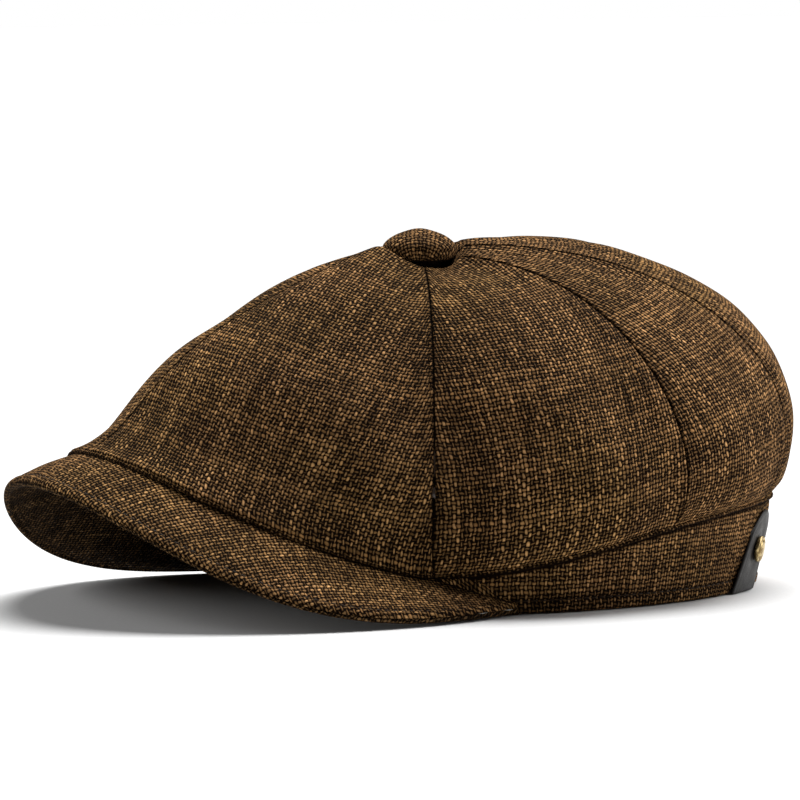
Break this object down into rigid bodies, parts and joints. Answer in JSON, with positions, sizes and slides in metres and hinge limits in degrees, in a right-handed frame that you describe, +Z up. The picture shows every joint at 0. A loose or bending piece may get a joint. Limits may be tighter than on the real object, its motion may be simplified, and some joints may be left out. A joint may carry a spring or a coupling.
{
  "type": "newsboy cap",
  "caption": "Soft newsboy cap with a panelled crown, covered top button, stiff arched brim and leather tabs riveted at the back of the band.",
  "frame": {"origin": "middle of the cap's footprint on the table, at the level of the sweatband's flat foot", "axes": "+Z up through the crown, -Y towards the tip of the brim, +X towards the wearer's left"},
  "size_m": [0.1902, 0.2804, 0.124],
  "materials": {
    "tweed_cloth": "coarse two-tone plain weave, matte",
    "brim_under_cloth": "coarse two-tone plain weave, matte",
    "patch_cloth": "matte",
    "sweatband_cotton": "fine twill, matte",
    "lining_satin": "smooth, soft sheen",
    "tab_leather": "smooth grain, satin",
    "rivet_brass": "antique, brushed",
    "brim_board_plastic": "matte",
    "stiffener_canvas": "stiff, matte",
    "elastic_webbing": "ribbed, matte",
    "button_core_metal": "satin",
    "button_metal": "satin"
  },
  "bodies": {
    "cap": {"crown_front_left": "tweed_cloth", "crown_front_right": "tweed_cloth", "crown_side_left": "tweed_cloth", "crown_side_right": "tweed_cloth", "crown_rear_side_left": "tweed_cloth", "crown_rear_side_right": "tweed_cloth", "crown_rear_left": "tweed_cloth", "crown_rear_right": "tweed_cloth", "crown_tip_patch": "patch_cloth", "brim_top_cover": "tweed_cloth", "brim_board": "brim_board_plastic", "brim_under_cover": "brim_under_cloth", "band_left": "tweed_cloth", "band_right": "tweed_cloth", "band_back": "tweed_cloth", "band_stiffener": "stiffener_canvas", "back_elastic": "elastic_webbing", "sweatband": "sweatband_cotton", "lining_left": "lining_satin", "lining_right": "lining_satin", "tab_left": "tab_leather", "tab_right": "tab_leather", "rivet_left": "rivet_brass", "rivet_right": "rivet_brass", "rivet_washer_left": "rivet_brass", "rivet_washer_right": "rivet_brass"},
    "top_button": {"button_cover": "tweed_cloth", "button_core": "button_core_metal", "button_shank": "button_metal", "button_washer": "button_metal"}
  },
  "joints": [
    {"name": "button_swivel", "type": "hinge", "parent": "cap", "child": "top_button", "pos_m": [0, 0.0052, 0.1098], "axis": [0, 0, 1], "range_deg": [-45, 45]}
  ]
}
